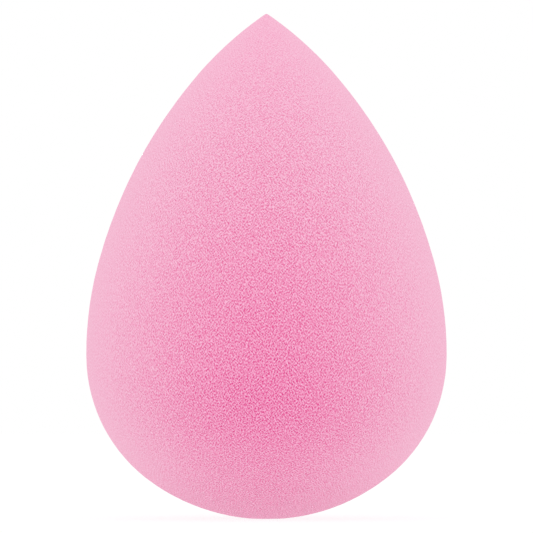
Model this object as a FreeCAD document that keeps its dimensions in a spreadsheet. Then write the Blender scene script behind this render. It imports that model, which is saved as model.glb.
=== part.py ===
import FreeCAD, Part
import math
import os

import Sketcher

# A teardrop makeup sponge, standing on its round end with the tip up.
# The origin is the middle of the foot, and Z is the axis of the body.

# Driving sizes: lengths in millimetres, turns in degrees
SIZES = {
    "overall_height": 60.0,  # foot to tip
    "belly_diameter": 42.85,  # widest section
    "belly_height": 19.4,  # widest section above the foot
    "foot_diameter": 4.0,  # patch where the soft base settles flat
    "tip_radius": 0.3,  # rounding of the tip
    "skin_depth": 0.8,  # fine-celled layer round the open-celled core
    "shoulder_turn": 53.0,  # turn of the shoulder arc, from the belly down to the base arc
    "flank_end_share": 0.26,  # turn of the lower flank arc, and of the upper one, of the plain turn
    "flank_flatness": 1.15,  # radius of the middle flank arc, of the plain radius
}

# Plain turn and radius: those of a single arc from the upright belly to the rounded tip
REACH = "(Sizes.belly_diameter / 2 - Sizes.tip_radius)"
RISE = "(Sizes.overall_height - Sizes.belly_height - Sizes.tip_radius)"
PLAIN_TURN = f"2 * atan({REACH} / {RISE})"
PLAIN_RADIUS = f"(({REACH}^2 + {RISE}^2) / (2 * {REACH}) + Sizes.tip_radius)"

# Index numbers of a curve's points and of the axes in a sketch
START_INDEX, END_INDEX, CENTRE_INDEX = 1, 2, 3
HORIZONTAL_INDEX, VERTICAL_INDEX = -1, -2
ORIGIN = (HORIZONTAL_INDEX, START_INDEX)
ARC_NAMES = ("base", "shoulder", "lower_flank", "middle_flank", "upper_flank", "tip")
FULL_TURN = 360
VOLUME_MATCH_SHARE = 1e-6


def add_sheet(doc):
    """Driving sizes, one to a row, each under its own name."""
    sheet = doc.addObject("Spreadsheet::Sheet", "Sizes")
    for row, (name, value) in enumerate(SIZES.items(), start=1):
        sheet.set(f"A{row}", str(value))
        sheet.setAlias(f"A{row}", name)
    doc.recompute()
    return sheet


def flank_arcs(sheet):
    """Whole turn of the flank, turn of each end arc, and radii of the end arcs and the middle arc."""
    reach = sheet.belly_diameter / 2 - sheet.tip_radius
    rise = sheet.overall_height - sheet.belly_height - sheet.tip_radius
    turn = 2 * math.atan(reach / rise)
    plain = (reach**2 + rise**2) / (2 * reach) + sheet.tip_radius
    end_turn = sheet.flank_end_share * turn
    middle = sheet.flank_flatness * plain
    whole_part, middle_part = math.sin(turn / 2), math.sin(turn / 2 - end_turn)
    ends = (plain * whole_part - middle * middle_part) / (whole_part - middle_part)
    return turn, end_turn, ends, middle


def base_radii(sheet):
    """Radii of the shoulder and base arcs of a round end that meets the axis at the foot."""
    turn = math.radians(sheet.shoulder_turn)
    belly = sheet.belly_diameter / 2
    slope = (1 - math.sin(turn)) / math.cos(turn)
    shoulder = (sheet.belly_height - belly * slope) / (math.sin(turn) - slope * (1 - math.cos(turn)))
    base = (belly - shoulder * (1 - math.cos(turn))) / math.cos(turn)
    return shoulder, base


def rough_arcs(sheet, inset):
    """Centre, radius, first and last angle of each arc, close enough for the sketch to settle."""
    belly = sheet.belly_diameter / 2
    height = sheet.belly_height
    tip = sheet.tip_radius
    shoulder, base = base_radii(sheet)
    turn, turn_low, ends, middle = flank_arcs(sheet)
    turn_high = turn - turn_low
    turn_down = -math.radians(sheet.shoulder_turn)
    foot_angle = -math.acos(sheet.foot_diameter / 2 / (base - inset))
    middle_x = belly - ends + (ends - middle) * math.cos(turn_low)
    middle_z = height + (ends - middle) * math.sin(turn_low)
    upper_x = middle_x + (middle - ends) * math.cos(turn_high)
    upper_z = middle_z + (middle - ends) * math.sin(turn_high)
    tip_z = upper_z + math.sqrt((ends - inset - tip) ** 2 - upper_x**2)
    turn_top = math.atan2(tip_z - upper_z, -upper_x)
    return {
        "base": (0, base, base - inset, foot_angle, turn_down),
        "shoulder": (belly - shoulder, height, shoulder - inset, turn_down, 0),
        "lower_flank": (belly - ends, height, ends - inset, 0, turn_low),
        "middle_flank": (middle_x, middle_z, middle - inset, turn_low, turn_high),
        "upper_flank": (upper_x, upper_z, ends - inset, turn_high, turn_top),
        "tip": (0, tip_z, tip, turn_top, math.pi / 2),
    }


def add_arc(sketch, x, z, radius, first, last, construction=False):
    """Arc of a circle in the sketch; gives its number."""
    circle = Part.Circle(FreeCAD.Vector(x, z, 0), FreeCAD.Vector(0, 0, 1), radius)
    return sketch.addGeometry(Part.ArcOfCircle(circle, first, last), construction)


def add_line(sketch, start, end, construction=False):
    """Straight line in the sketch; gives its number."""
    line = Part.LineSegment(FreeCAD.Vector(*start, 0), FreeCAD.Vector(*end, 0))
    return sketch.addGeometry(line, construction)


def bind(sketch, name, constraint, formula):
    """Adds a named dimension that follows a formula of the driving sizes."""
    number = sketch.addConstraint(constraint)
    sketch.renameConstraint(number, name)
    sketch.setExpression(f"Constraints.{name}", formula)


def join(sketch, kind, first, second):
    """Ties the end of one curve to the start of the next."""
    sketch.addConstraint(Sketcher.Constraint(kind, first, END_INDEX, second, START_INDEX))


def close_outline(sketch, foot, arcs, axis):
    """Joins foot, arcs and axis into one closed line, smooth from the base to the tip."""
    sketch.addConstraint(Sketcher.Constraint("Horizontal", foot))
    sketch.addConstraint(Sketcher.Constraint("Vertical", axis))
    join(sketch, "Coincident", foot, arcs["base"])
    for lower, upper in zip(ARC_NAMES, ARC_NAMES[1:]):
        join(sketch, "Tangent", arcs[lower], arcs[upper])
    join(sketch, "Coincident", arcs["tip"], axis)
    join(sketch, "Coincident", axis, foot)


def draw_outline(sketch, sheet, construction=False):
    """Half outline of the sponge, from the foot round the belly to the tip; gives its arcs."""
    rough = rough_arcs(sheet, inset=0)
    foot = add_line(sketch, (0, 0), (sheet.foot_diameter / 2, 0), construction)
    arcs = {name: add_arc(sketch, *rough[name], construction) for name in ARC_NAMES}
    axis = add_line(sketch, (0, sheet.overall_height), (0, 0), construction)

    close_outline(sketch, foot, arcs, axis)
    sketch.addConstraint(Sketcher.Constraint("Coincident", foot, START_INDEX, *ORIGIN))
    for name in ("base", "tip"):
        sketch.addConstraint(Sketcher.Constraint("PointOnObject", arcs[name], CENTRE_INDEX, VERTICAL_INDEX))
    shoulder = arcs["shoulder"]
    sketch.addConstraint(Sketcher.Constraint("Horizontal", shoulder, CENTRE_INDEX, shoulder, END_INDEX))
    sketch.addConstraint(Sketcher.Constraint("Equal", arcs["lower_flank"], arcs["upper_flank"]))

    belly = (*ORIGIN, shoulder, END_INDEX)
    peak = (*ORIGIN, arcs["tip"], END_INDEX)
    bind_turns(sketch, arcs)
    bind(sketch, "foot_reach", Sketcher.Constraint("Distance", foot, sheet.foot_diameter / 2),
         "Sizes.foot_diameter / 2")
    bind(sketch, "belly_reach", Sketcher.Constraint("DistanceX", *belly, sheet.belly_diameter / 2),
         "Sizes.belly_diameter / 2")
    bind(sketch, "belly_rise", Sketcher.Constraint("DistanceY", *belly, sheet.belly_height),
         "Sizes.belly_height")
    bind(sketch, "tip_rise", Sketcher.Constraint("DistanceY", *peak, sheet.overall_height),
         "Sizes.overall_height")
    bind(sketch, "tip_round", Sketcher.Constraint("Radius", arcs["tip"], sheet.tip_radius),
         "Sizes.tip_radius")
    middle_radius = sketch.Geometry[arcs["middle_flank"]].Radius
    bind(sketch, "middle_bend", Sketcher.Constraint("Radius", arcs["middle_flank"], middle_radius),
         f"Sizes.flank_flatness * {PLAIN_RADIUS}")
    return arcs


def bind_turns(sketch, arcs):
    """Ties the turn of the shoulder and of the flank's end arcs to the driving sizes."""
    turns = {
        "shoulder": "Sizes.shoulder_turn * 1 deg",
        "lower_flank": f"Sizes.flank_end_share * {PLAIN_TURN}",
        "upper_flank": f"Sizes.flank_end_share * {PLAIN_TURN}",
    }
    for name, formula in turns.items():
        arc = sketch.Geometry[arcs[name]]
        angle = arc.LastParameter - arc.FirstParameter
        bind(sketch, f"{name}_turn", Sketcher.Constraint("Angle", arcs[name], angle), formula)


def draw_inset(sketch, sheet):
    """Half outline of the core: the sponge's own arcs drawn in by the skin, and a tip rounded alike."""
    outer = draw_outline(sketch, sheet, construction=True)
    depth = sheet.skin_depth
    rough = rough_arcs(sheet, inset=depth)
    peak = rough["tip"][1] + sheet.tip_radius
    foot = add_line(sketch, (0, depth), (sheet.foot_diameter / 2, depth))
    arcs = {name: add_arc(sketch, *rough[name]) for name in ARC_NAMES}
    axis = add_line(sketch, (0, peak), (0, depth))

    close_outline(sketch, foot, arcs, axis)
    for name in ARC_NAMES[:-1]:
        centres = (arcs[name], CENTRE_INDEX, outer[name], CENTRE_INDEX)
        sketch.addConstraint(Sketcher.Constraint("Coincident", *centres))
    sketch.addConstraint(Sketcher.Constraint("PointOnObject", arcs["tip"], CENTRE_INDEX, VERTICAL_INDEX))
    sketch.addConstraint(Sketcher.Constraint("PointOnObject", foot, START_INDEX, VERTICAL_INDEX))

    belly = (arcs["shoulder"], END_INDEX, outer["shoulder"], END_INDEX)
    bind(sketch, "skin_at_belly", Sketcher.Constraint("DistanceX", *belly, depth), "Sizes.skin_depth")
    bind(sketch, "skin_at_foot", Sketcher.Constraint("DistanceY", *ORIGIN, foot, START_INDEX, depth),
         "Sizes.skin_depth")
    bind(sketch, "core_tip_round", Sketcher.Constraint("Radius", arcs["tip"], sheet.tip_radius),
         "Sizes.tip_radius")


def upright_sketch(body, name):
    """Empty sketch on the body's own XZ plane."""
    sketch = body.newObject("Sketcher::SketchObject", name)
    plane = next(item for item in body.Origin.OriginFeatures if item.Role == "XZ_Plane")
    sketch.AttachmentSupport = [(plane, "")]
    sketch.MapMode = "FlatFace"
    return sketch


def turn_about_axis(body, kind, name, sketch):
    """Full turn of a half outline about the sponge's axis."""
    feature = body.newObject(f"PartDesign::{kind}", name)
    feature.Profile = sketch
    feature.ReferenceAxis = (sketch, ["V_Axis"])
    feature.Angle = FULL_TURN
    return feature


def new_body(doc, label):
    """Empty body of one sub-part, at the shared origin."""
    body = doc.addObject("PartDesign::Body", label)
    body.Label = label
    body.Placement = FreeCAD.Placement()
    return body


def make_foam_core(doc, sheet):
    """Open-celled foam that fills the sponge and takes up water."""
    body = new_body(doc, "foam_core")
    outline = upright_sketch(body, "CoreOutline")
    draw_inset(outline, sheet)
    turn_about_axis(body, "Revolution", "CoreTurned", outline)
    return body


def make_foam_skin(doc, sheet):
    """Fine-celled, buffed layer all round the core, with the foot and the tip."""
    body = new_body(doc, "foam_skin")
    outline = upright_sketch(body, "SpongeOutline")
    draw_outline(outline, sheet)
    blank = turn_about_axis(body, "Revolution", "SpongeTurned", outline)
    doc.recompute()
    hollow = upright_sketch(body, "CoreSpace")
    draw_inset(hollow, sheet)
    turn_about_axis(body, "Groove", "CoreSpaceTurned", hollow)
    return body, blank


def check(doc, bodies):
    """Stops if anything in the document failed, or a sub-part isn't one sound solid."""
    for item in doc.Objects:
        if {"Invalid", "Error"} & set(item.State):
            raise RuntimeError(f"{item.Label} failed: {item.State}")
        if item.isDerivedFrom("Sketcher::SketchObject") and not item.FullyConstrained:
            raise RuntimeError(f"{item.Label} isn't fully constrained")
    for body in bodies:
        shape = body.Shape
        if shape.isNull() or not shape.isValid() or len(shape.Solids) != 1:
            raise RuntimeError(f"{body.Label} isn't one valid solid")


def check_fit(core, skin, blank):
    """Stops unless skin and core fill the sponge between them, with nothing shared or left over."""
    whole = blank.Shape.Volume
    filled = core.Shape.Volume + skin.Shape.Volume
    if not math.isclose(whole, filled, rel_tol=VOLUME_MATCH_SHARE):
        raise RuntimeError(f"skin and core hold {filled:.3f} of {whole:.3f} cubic millimetres")
    print(f"skin {skin.Shape.Volume:.1f} and core {core.Shape.Volume:.1f} cubic millimetres")


def main():
    doc = FreeCAD.newDocument("makeup_sponge")
    sheet = add_sheet(doc)
    core = make_foam_core(doc, sheet)
    skin, blank = make_foam_skin(doc, sheet)
    doc.recompute()
    check(doc, (core, skin))
    check_fit(core, skin, blank)
    os.makedirs("parts", exist_ok=True)
    for body in (core, skin):
        body.Shape.exportStep(f"parts/{body.Label}.step")


main()
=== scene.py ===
# Makeup sponge: the visual model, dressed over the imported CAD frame. Lengths are in metres.
import bisect
import itertools
import math

import bpy
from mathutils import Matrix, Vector, noise


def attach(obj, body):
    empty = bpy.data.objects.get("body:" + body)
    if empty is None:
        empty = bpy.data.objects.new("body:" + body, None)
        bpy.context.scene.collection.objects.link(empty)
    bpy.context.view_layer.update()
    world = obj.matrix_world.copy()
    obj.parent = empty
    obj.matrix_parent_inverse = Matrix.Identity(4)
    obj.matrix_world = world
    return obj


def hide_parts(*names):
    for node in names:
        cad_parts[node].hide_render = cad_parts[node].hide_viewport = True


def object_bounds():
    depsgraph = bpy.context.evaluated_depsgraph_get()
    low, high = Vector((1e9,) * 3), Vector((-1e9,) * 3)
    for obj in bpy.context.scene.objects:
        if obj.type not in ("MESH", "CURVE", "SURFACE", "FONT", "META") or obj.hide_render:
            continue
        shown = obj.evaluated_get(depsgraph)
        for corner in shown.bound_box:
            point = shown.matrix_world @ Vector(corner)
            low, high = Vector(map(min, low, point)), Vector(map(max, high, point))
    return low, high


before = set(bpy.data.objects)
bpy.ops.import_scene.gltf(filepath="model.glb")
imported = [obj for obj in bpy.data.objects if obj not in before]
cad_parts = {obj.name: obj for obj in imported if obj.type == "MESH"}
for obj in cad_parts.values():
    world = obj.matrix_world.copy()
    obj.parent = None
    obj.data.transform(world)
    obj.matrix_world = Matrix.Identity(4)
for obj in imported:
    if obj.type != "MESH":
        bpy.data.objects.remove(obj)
CAD_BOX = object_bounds()
MM = 0.001
UP = (0, 0, 1)

# Heights on the sponge, from the frame
FOOT_HEIGHT = CAD_BOX[0].z
TIP_HEIGHT = CAD_BOX[1].z
TALL = TIP_HEIGHT - FOOT_HEIGHT
ROUND_END_HEIGHT = FOOT_HEIGHT + 0.15 * TALL
BELLY_HEIGHT = FOOT_HEIGHT + 0.33 * TALL
TAPER_HEIGHT = FOOT_HEIGHT + 0.42 * TALL
NECK_HEIGHT = FOOT_HEIGHT + 0.70 * TALL
HEART = Vector((0, 0, BELLY_HEIGHT))

# Mesh fineness: squares along one edge of the cube that is spread over a wall
SKIN_SQUARES = 120
LINING_SQUARES = 40
CORE_SQUARES = 60
TIP_EXTRA_DENSITY = 3.0
TIP_EXTRA_REACH = 5 * MM

# Rays that read an outline, all in one upright plane that is turned off the X axis
OUTLINE_RAYS = 900
OUTLINE_PLANE_ANGLE = math.radians(10)

# Relief of the foam surface
SLOW_WAVE_LENGTH = 11 * MM
SLOW_WAVE_HEIGHT = 0.03 * MM
DIMPLE_LENGTH = 0.9 * MM
DIMPLE_HEIGHT = 0.012 * MM
RELIEF_FADE_HEIGHT = 1.5 * MM
CORE_CELL_LENGTH = 1.6 * MM
CORE_CELL_DEPTH = 0.12 * MM
CORE_CLEARANCE = 0.02 * MM

# Colours and gloss of the foam
# The pits' colour is the foam's grain with painted shade in the pores
PIT_COLOUR_AND_SHADE = (0.755, 0.012, 0.228, 1)
RIDGE_COLOUR = (1.0, 0.49, 0.722, 1)
# Painted sheen: a pale colour mixed in where the surface turns away from the eye
PAINTED_SHEEN_COLOUR = (0.935, 0.625, 0.748, 1)
CORE_COLOUR = (0.94, 0.55, 0.70, 1)
PIT_ROUGHNESS = 0.95
RIDGE_ROUGHNESS = 0.85
SKIN_SPECULAR = 0.15
SHEEN_WEIGHT = 0.1
SHEEN_ROUGHNESS = 0.7
CORE_ROUGHNESS = 0.95
CORE_SPECULAR = 0.1
CORE_BUMP = 0.2 * MM

# Pores of the skin, drawn out along the axis, with finer ones among them
PORE_SIZE = 0.175 * MM
FINE_PORE_SIZE = 0.11 * MM
FINE_PORE_SHARE = 0.6
PORE_STRETCH = 1.2
PORE_REACH = 0.15 * MM
PORE_EVENNESS = 0.64
PORE_SWING = 0.212
PORE_BUMP = 0.045 * MM
# How deep the pores are at each height: this sets their bump and how strongly the painted shade in the
# pits shows
PORE_DEPTHS = [
    (FOOT_HEIGHT, 1.5),
    (ROUND_END_HEIGHT, 1.0),
    (TAPER_HEIGHT, 1.0),
    (NECK_HEIGHT, 1.22),
    (TIP_HEIGHT, 0.7),
]
NOISE_MEAN = 0.5
MID_HEIGHT = 0.5

# Painted sheen: a pale, patchy colour mixed over the foam where the surface turns away from the eye,
# more where it faces up and less at the foot
PAINTED_SHEEN_BLEND = 0.79
PAINTED_SHEEN_PATCH_SIZE = 0.29 * MM
PAINTED_SHEEN_PATCHINESS = 0.44
PAINTED_SHEEN_SHARES = [(FOOT_HEIGHT, 0.4), (ROUND_END_HEIGHT, 0.61)]
PAINTED_SHEEN_TILTS = [
    (FOOT_HEIGHT, 0.5),
    (ROUND_END_HEIGHT, 0.27),
    (TAPER_HEIGHT, 0.27),
    (TIP_HEIGHT, 0.5),
]

# Floor, light and camera
WHITE = (1, 1, 1, 1)
FLOOR_RADIUS = 10 * TALL
FLOOR_CORNERS = 64
FLOOR_DROP = 0.01 * MM
FLOOR_LETS_THROUGH = (0.83, 0.83, 0.83, 1)
FLOOR_SENDS_BACK = (0.17, 0.17, 0.17, 1)
FLOOR_EXTRA_WHITE = 0.03
SKY_STRENGTH = 1.0
LAMP_SIZE = 10 * TALL
LAMP_POWER = 0.4
LAMP_PLACE = TALL * Vector((0, -7.5, 15))
CAMERA_DISTANCE = 20 * TALL
SENSOR_WIDTH = 36.0
PICTURE_HEIGHT = TALL / 0.947
PICTURE_MIDDLE = FOOT_HEIGHT + 0.4992 * TALL


# Outlines read from the CAD walls

def wall_outline(node, from_outside):
    """(radius, height) points of a CAD wall, from the middle of the foot to the tip, found by rays."""
    reach = 2 * TALL
    points = []
    for ray in range(OUTLINE_RAYS):
        angle = math.pi * (ray + 0.5) / OUTLINE_RAYS
        out = Vector((
            math.sin(angle) * math.cos(OUTLINE_PLANE_ANGLE),
            math.sin(angle) * math.sin(OUTLINE_PLANE_ANGLE),
            -math.cos(angle),
        ))
        start = HEART + reach * out if from_outside else HEART
        hit, place, _, _ = node.ray_cast(start, -out if from_outside else out)
        if hit:
            points.append((math.hypot(place.x, place.y), place.z))
    return [(0.0, points[0][1]), *points, (0.0, points[-1][1])]


def running_shares(outline):
    """The share of the wall's area below each outline point.

    The tip counts as larger than it is, so that it gets finer faces.
    """
    tip_height = outline[-1][1]
    total = 0.0
    sums = [0.0]
    for (r0, z0), (r1, z1) in zip(outline, outline[1:]):
        near_tip = math.exp(-(tip_height - (z0 + z1) / 2) / TIP_EXTRA_REACH)
        weight = 1 + TIP_EXTRA_DENSITY * near_tip
        total += weight * (r0 + r1) / 2 * math.hypot(r1 - r0, z1 - z0)
        sums.append(total)
    return [s / total for s in sums]


def outline_at(outline, shares, share):
    """Radius, height and outward direction (radial and vertical part) where that share lies below."""
    i = min(max(bisect.bisect_right(shares, share), 1), len(shares) - 1)
    (r0, z0), (r1, z1) = outline[i - 1], outline[i]
    span = shares[i] - shares[i - 1]
    part = (share - shares[i - 1]) / span if span > 0 else 0.0
    length = math.hypot(r1 - r0, z1 - z0) or 1.0
    return r0 + part * (r1 - r0), z0 + part * (z1 - z0), (z1 - z0) / length, -(r1 - r0) / length


# Meshes

def cube_sphere(squares):
    """Unit directions and four-cornered faces of a sphere made from a cube, with no crowded poles."""
    index = {}
    directions = []
    faces = []

    def corner(key):
        if key not in index:
            index[key] = len(directions)
            spread = [math.tan((2 * k / squares - 1) * math.pi / 4) for k in key]
            directions.append(Vector(spread).normalized())
        return index[key]

    cells = range(squares)
    for axis, side, i, j in itertools.product(range(3), (0, squares), cells, cells):
        face = []
        for a, b in ((i, j), (i + 1, j), (i + 1, j + 1), (i, j + 1)):
            key = [a, b]
            key.insert(axis, side)
            face.append(corner(tuple(key)))
        outward = (side > 0) == (axis != 1)
        faces.append(face if outward else face[::-1])
    return directions, faces


def wall(outline, squares, relief):
    """Vertices and faces of a closed wall that follows an outline, moved outward by relief(place)."""
    directions, faces = cube_sphere(squares)
    shares = running_shares(outline)
    vertices = []
    for direction in directions:
        share_below = (1 + direction.z) / 2
        radius, height, out_radial, out_vertical = outline_at(outline, shares, share_below)
        side = Vector((direction.x, direction.y, 0)).normalized()
        place = radius * side + Vector((0, 0, height))
        outward = out_radial * side + Vector((0, 0, out_vertical))
        vertices.append(place + relief(place) * outward)
    return vertices, faces


def skin_relief(place):
    """Slow waves and fine dimples of the buffed skin, none where the foot rests."""
    rise = min((place.z - FOOT_HEIGHT) / RELIEF_FADE_HEIGHT, 1.0)
    slow = SLOW_WAVE_HEIGHT * noise.noise(place / SLOW_WAVE_LENGTH)
    dimples = DIMPLE_HEIGHT * noise.noise(place / DIMPLE_LENGTH)
    return rise * (slow + dimples)


def core_relief(place):
    """Open cells of the core, cut into it only, so that it stays clear of the skin's lining."""
    cell = noise.noise(place / CORE_CELL_LENGTH)
    return -CORE_CLEARANCE - CORE_CELL_DEPTH * max(cell, 0.0)


def no_relief(place):
    """The skin's lining is smooth."""
    return 0.0


def new_piece(name, vertices, faces, material):
    """An object with a smooth-shaded mesh of one material, linked to the scene."""
    mesh = bpy.data.meshes.new(name)
    mesh.from_pydata(vertices, [], faces)
    mesh.polygons.foreach_set("use_smooth", [True] * len(mesh.polygons))
    mesh.materials.append(material)
    piece = bpy.data.objects.new(name, mesh)
    bpy.context.scene.collection.objects.link(piece)
    return piece


# Shader nodes

def new_material(name):
    """A material, its node tree and its Principled shader."""
    material = bpy.data.materials.new(name)
    material.use_nodes = True
    tree = material.node_tree
    return material, tree, tree.nodes["Principled BSDF"]


def add_node(tree, kind, inputs=None, **settings):
    """A node with its settings and inputs. An input that is a socket is linked, any other is a value."""
    made = tree.nodes.new(kind)
    for key, value in settings.items():
        setattr(made, key, value)
    for key, value in (inputs or {}).items():
        if isinstance(value, bpy.types.NodeSocket):
            tree.links.new(value, made.inputs[key])
        else:
            made.inputs[key].default_value = value
    return made


def mix_colours(tree, share, first, second):
    mixed = add_node(tree, "ShaderNodeMix", {0: share, 6: first, 7: second}, data_type="RGBA")
    return mixed.outputs[2]


def map_range(tree, value, low, high, to_low=0.0, to_high=1.0, shape="SMOOTHSTEP"):
    made = add_node(
        tree, "ShaderNodeMapRange",
        {"Value": value, "From Min": low, "From Max": high, "To Min": to_low, "To Max": to_high},
        interpolation_type=shape,
    )
    return made.outputs["Result"]


def maths(tree, operation, first, second):
    made = add_node(tree, "ShaderNodeMath", {0: first, 1: second}, operation=operation)
    return made.outputs[0]


def vector_maths(tree, operation, first, second):
    """A vector from two vectors, or from a vector and a number for SCALE."""
    key = "Scale" if operation == "SCALE" else 1
    made = add_node(tree, "ShaderNodeVectorMath", {0: first, key: second}, operation=operation)
    return made.outputs["Vector"]


def unit_vector(tree, vector):
    made = add_node(tree, "ShaderNodeVectorMath", {0: vector}, operation="NORMALIZE")
    return made.outputs["Vector"]


def by_height(tree, z, steps):
    """A value that changes smoothly with height from each (height, value) step to the next."""
    value = steps[0][1]
    for (low, before), (high, after) in zip(steps, steps[1:]):
        change = map_range(tree, z, low, high, 0.0, after - before)
        value = maths(tree, "ADD", change, value)
    return value


# Materials

def pore_height(tree, place, normal):
    """Height of the foam, from 0 in a pore to 1 on a cell's edge.

    Most of the mean height close by in the surface is taken off a noise, so that no blotches are left.
    """
    def noise_at(spot):
        inputs = {
            "Vector": spot, "Scale": 1 / PORE_SIZE,
            "Detail": 1.0, "Roughness": FINE_PORE_SHARE, "Lacunarity": PORE_SIZE / FINE_PORE_SIZE,
        }
        return add_node(tree, "ShaderNodeTexNoise", inputs).outputs["Fac"]

    along = unit_vector(tree, vector_maths(tree, "CROSS_PRODUCT", normal, UP))
    across = vector_maths(tree, "CROSS_PRODUCT", normal, along)
    steps = list(itertools.product((along, across), (PORE_REACH, -PORE_REACH)))
    height = noise_at(place)
    for way, reach in steps:
        spot = vector_maths(tree, "ADD", place, vector_maths(tree, "SCALE", way, reach))
        close_by = maths(tree, "MULTIPLY", noise_at(spot), PORE_EVENNESS / len(steps))
        height = maths(tree, "SUBTRACT", height, close_by)
    middle = NOISE_MEAN * (1 - PORE_EVENNESS)
    return map_range(tree, height, middle - PORE_SWING, middle + PORE_SWING, shape="LINEAR")


def painted_sheen_share(tree, z, normal, squeezed):
    """The share of painted sheen over the foam: more where the surface turns away from the eye, and
    where it faces up.
    """
    sheen_tilt = by_height(tree, z, PAINTED_SHEEN_TILTS)
    upward = add_node(tree, "ShaderNodeCombineXYZ", {"Z": sheen_tilt}).outputs["Vector"]
    sheen_normal = unit_vector(tree, vector_maths(tree, "ADD", normal, upward))
    in_world = add_node(
        tree, "ShaderNodeVectorTransform", {0: sheen_normal},
        vector_type="NORMAL", convert_from="OBJECT", convert_to="WORLD",
    ).outputs[0]
    patches = add_node(
        tree, "ShaderNodeTexNoise",
        {"Vector": squeezed, "Scale": 1 / PAINTED_SHEEN_PATCH_SIZE, "Detail": 0.0},
    ).outputs["Fac"]
    least_blend = PAINTED_SHEEN_BLEND - PAINTED_SHEEN_PATCHINESS / 2
    most_blend = PAINTED_SHEEN_BLEND + PAINTED_SHEEN_PATCHINESS / 2
    blend = map_range(tree, patches, 0, 1, least_blend, most_blend, shape="LINEAR")
    turned = add_node(tree, "ShaderNodeLayerWeight", {"Blend": blend, "Normal": in_world})
    most = by_height(tree, z, PAINTED_SHEEN_SHARES)
    return maths(tree, "MULTIPLY", turned.outputs["Facing"], most)


def skin_material():
    """Foam with fine pores, deeper pink in the pits as grain and painted shade, under a painted sheen.
    """
    material, tree, foam = new_material("skin_foam")
    coordinates = add_node(tree, "ShaderNodeTexCoord").outputs
    place, normal = coordinates["Object"], coordinates["Normal"]
    z = add_node(tree, "ShaderNodeSeparateXYZ", {0: place}).outputs["Z"]
    squeezed = vector_maths(tree, "MULTIPLY", place, (1, 1, 1 / PORE_STRETCH))

    depth = by_height(tree, z, PORE_DEPTHS)
    swing = maths(tree, "SUBTRACT", pore_height(tree, squeezed, normal), MID_HEIGHT)
    height = maths(tree, "ADD", maths(tree, "MULTIPLY", swing, depth), MID_HEIGHT)
    # Deeper pink in the pits: the foam's grain, with painted shade in the pores
    colour = mix_colours(tree, height, PIT_COLOUR_AND_SHADE, RIDGE_COLOUR)
    roughness = map_range(tree, height, 0, 1, PIT_ROUGHNESS, RIDGE_ROUGHNESS)
    bump = add_node(
        tree, "ShaderNodeBump", {"Height": height, "Distance": PORE_BUMP, "Strength": 1.0},
    )
    tree.links.new(colour, foam.inputs["Base Color"])
    tree.links.new(roughness, foam.inputs["Roughness"])
    tree.links.new(bump.outputs["Normal"], foam.inputs["Normal"])
    foam.inputs["Specular IOR Level"].default_value = SKIN_SPECULAR
    foam.inputs["Sheen Weight"].default_value = SHEEN_WEIGHT
    foam.inputs["Sheen Roughness"].default_value = SHEEN_ROUGHNESS

    # Painted sheen: a pale diffuse colour mixed over the foam by view angle
    sheen_share = painted_sheen_share(tree, z, normal, squeezed)
    painted_sheen = add_node(tree, "ShaderNodeBsdfDiffuse", {"Color": PAINTED_SHEEN_COLOUR})
    foam_and_sheen = add_node(
        tree, "ShaderNodeMixShader",
        {0: sheen_share, 1: foam.outputs["BSDF"], 2: painted_sheen.outputs["BSDF"]},
    )
    tree.links.new(foam_and_sheen.outputs["Shader"], tree.nodes["Material Output"].inputs["Surface"])
    return material


def core_material():
    """Open-celled foam: larger cells and a paler pink than the skin."""
    material, tree, foam = new_material("core_foam")
    place = add_node(tree, "ShaderNodeTexCoord").outputs["Object"]
    cells = add_node(tree, "ShaderNodeTexVoronoi", {"Vector": place, "Scale": 1 / CORE_CELL_LENGTH})
    from_centre = cells.outputs["Distance"]
    # Pit colour in each cell's hollow, paler towards the walls: painted shade in the cells
    colour = mix_colours(tree, from_centre, PIT_COLOUR_AND_SHADE, CORE_COLOUR)
    bump = add_node(
        tree, "ShaderNodeBump", {"Height": from_centre, "Distance": CORE_BUMP, "Strength": 1.0},
    )
    tree.links.new(colour, foam.inputs["Base Color"])
    tree.links.new(bump.outputs["Normal"], foam.inputs["Normal"])
    foam.inputs["Roughness"].default_value = CORE_ROUGHNESS
    foam.inputs["Specular IOR Level"].default_value = CORE_SPECULAR
    return material


def seen_directly(tree):
    """1 for rays from the camera and those that a mirror or glass sends on, and 0 for all others."""
    path = add_node(tree, "ShaderNodeLightPath").outputs
    sent_on = maths(tree, "MAXIMUM", path["Is Glossy Ray"], path["Is Transmission Ray"])
    return maths(tree, "MAXIMUM", path["Is Camera Ray"], sent_on)


def floor_material():
    """A white translucent sheet, lit by the sky from both sides, on which a faint shadow shows.

    The extra white is only seen, straight or in gloss, and lights no matt surface.
    """
    material, tree, plain = new_material("pale_floor")
    tree.nodes.remove(plain)
    through = add_node(tree, "ShaderNodeBsdfTranslucent", {"Color": FLOOR_LETS_THROUGH})
    back = add_node(tree, "ShaderNodeBsdfDiffuse", {"Color": FLOOR_SENDS_BACK})
    sheet = add_node(tree, "ShaderNodeAddShader", {0: through.outputs[0], 1: back.outputs[0]})
    strength = maths(tree, "MULTIPLY", seen_directly(tree), FLOOR_EXTRA_WHITE)
    white = add_node(tree, "ShaderNodeEmission", {"Strength": strength})
    both = add_node(tree, "ShaderNodeAddShader", {0: sheet.outputs[0], 1: white.outputs[0]})
    tree.links.new(both.outputs[0], tree.nodes["Material Output"].inputs["Surface"])
    return material


# The two pieces

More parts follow.
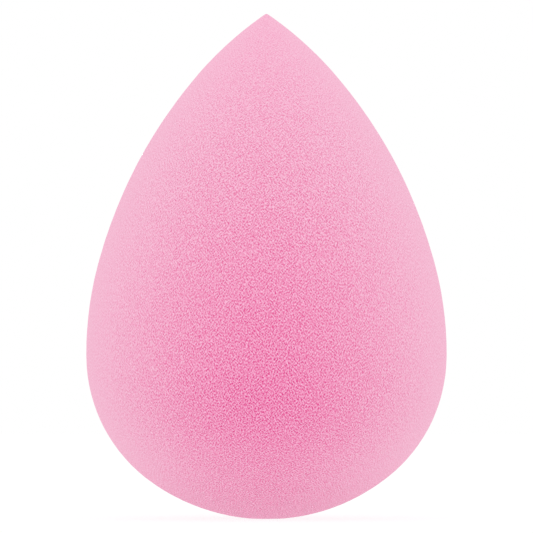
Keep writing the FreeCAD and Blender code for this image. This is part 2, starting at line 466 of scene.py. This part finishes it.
def make_skin():
    """The outer wall with its relief, and the smooth lining that faces the core."""
    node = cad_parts["foam_skin"]
    vertices, faces = wall(wall_outline(node, True), SKIN_SQUARES, skin_relief)
    lining, lining_faces = wall(wall_outline(node, False), LINING_SQUARES, no_relief)
    offset = len(vertices)
    faces += [[offset + i for i in reversed(face)] for face in lining_faces]
    skin = new_piece("skin_foam", vertices + lining, faces, skin_material())
    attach(skin, "root")
    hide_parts("foam_skin")


def make_core():
    """The open-celled foam inside the skin."""
    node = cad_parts["foam_core"]
    vertices, faces = wall(wall_outline(node, True), CORE_SQUARES, core_relief)
    core = new_piece("core_foam", vertices, faces, core_material())
    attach(core, "root")
    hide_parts("foam_core")


# Floor, light and camera

def make_floor():
    """A round, flat floor just under the foot."""
    height = FOOT_HEIGHT - FLOOR_DROP
    rim = []
    for i in range(FLOOR_CORNERS):
        turn = 2 * math.pi * i / FLOOR_CORNERS
        rim.append(Vector((FLOOR_RADIUS * math.cos(turn), FLOOR_RADIUS * math.sin(turn), height)))
    floor = new_piece("floor", rim, [list(range(FLOOR_CORNERS))], floor_material())


def make_light():
    """An even white sky, and one large soft lamp above the front."""
    world = bpy.data.worlds.new("studio")
    bpy.context.scene.world = world
    world.use_nodes = True
    sky = world.node_tree.nodes["Background"]
    sky.inputs["Color"].default_value = WHITE
    sky.inputs["Strength"].default_value = SKY_STRENGTH
    lamp = bpy.data.lights.new("softbox", "AREA")
    lamp.size = LAMP_SIZE
    lamp.energy = LAMP_POWER
    softbox = bpy.data.objects.new("softbox", lamp)
    softbox.location = LAMP_PLACE
    softbox.rotation_euler = (HEART - LAMP_PLACE).to_track_quat("-Z", "Y").to_euler()
    bpy.context.scene.collection.objects.link(softbox)


def make_camera():
    """A long lens, level with the middle of the sponge, that frames it from foot to tip."""
    data = bpy.data.cameras.new("camera")
    data.sensor_width = SENSOR_WIDTH
    data.lens = SENSOR_WIDTH * CAMERA_DISTANCE / PICTURE_HEIGHT
    camera = bpy.data.objects.new("camera", data)
    camera.location = (0, -CAMERA_DISTANCE, PICTURE_MIDDLE)
    camera.rotation_euler = (math.pi / 2, 0, 0)
    bpy.context.scene.collection.objects.link(camera)
    bpy.context.scene.camera = camera


bpy.context.scene.view_settings.view_transform = "Standard"
make_camera()
make_light()
make_floor()
make_core()
make_skin()
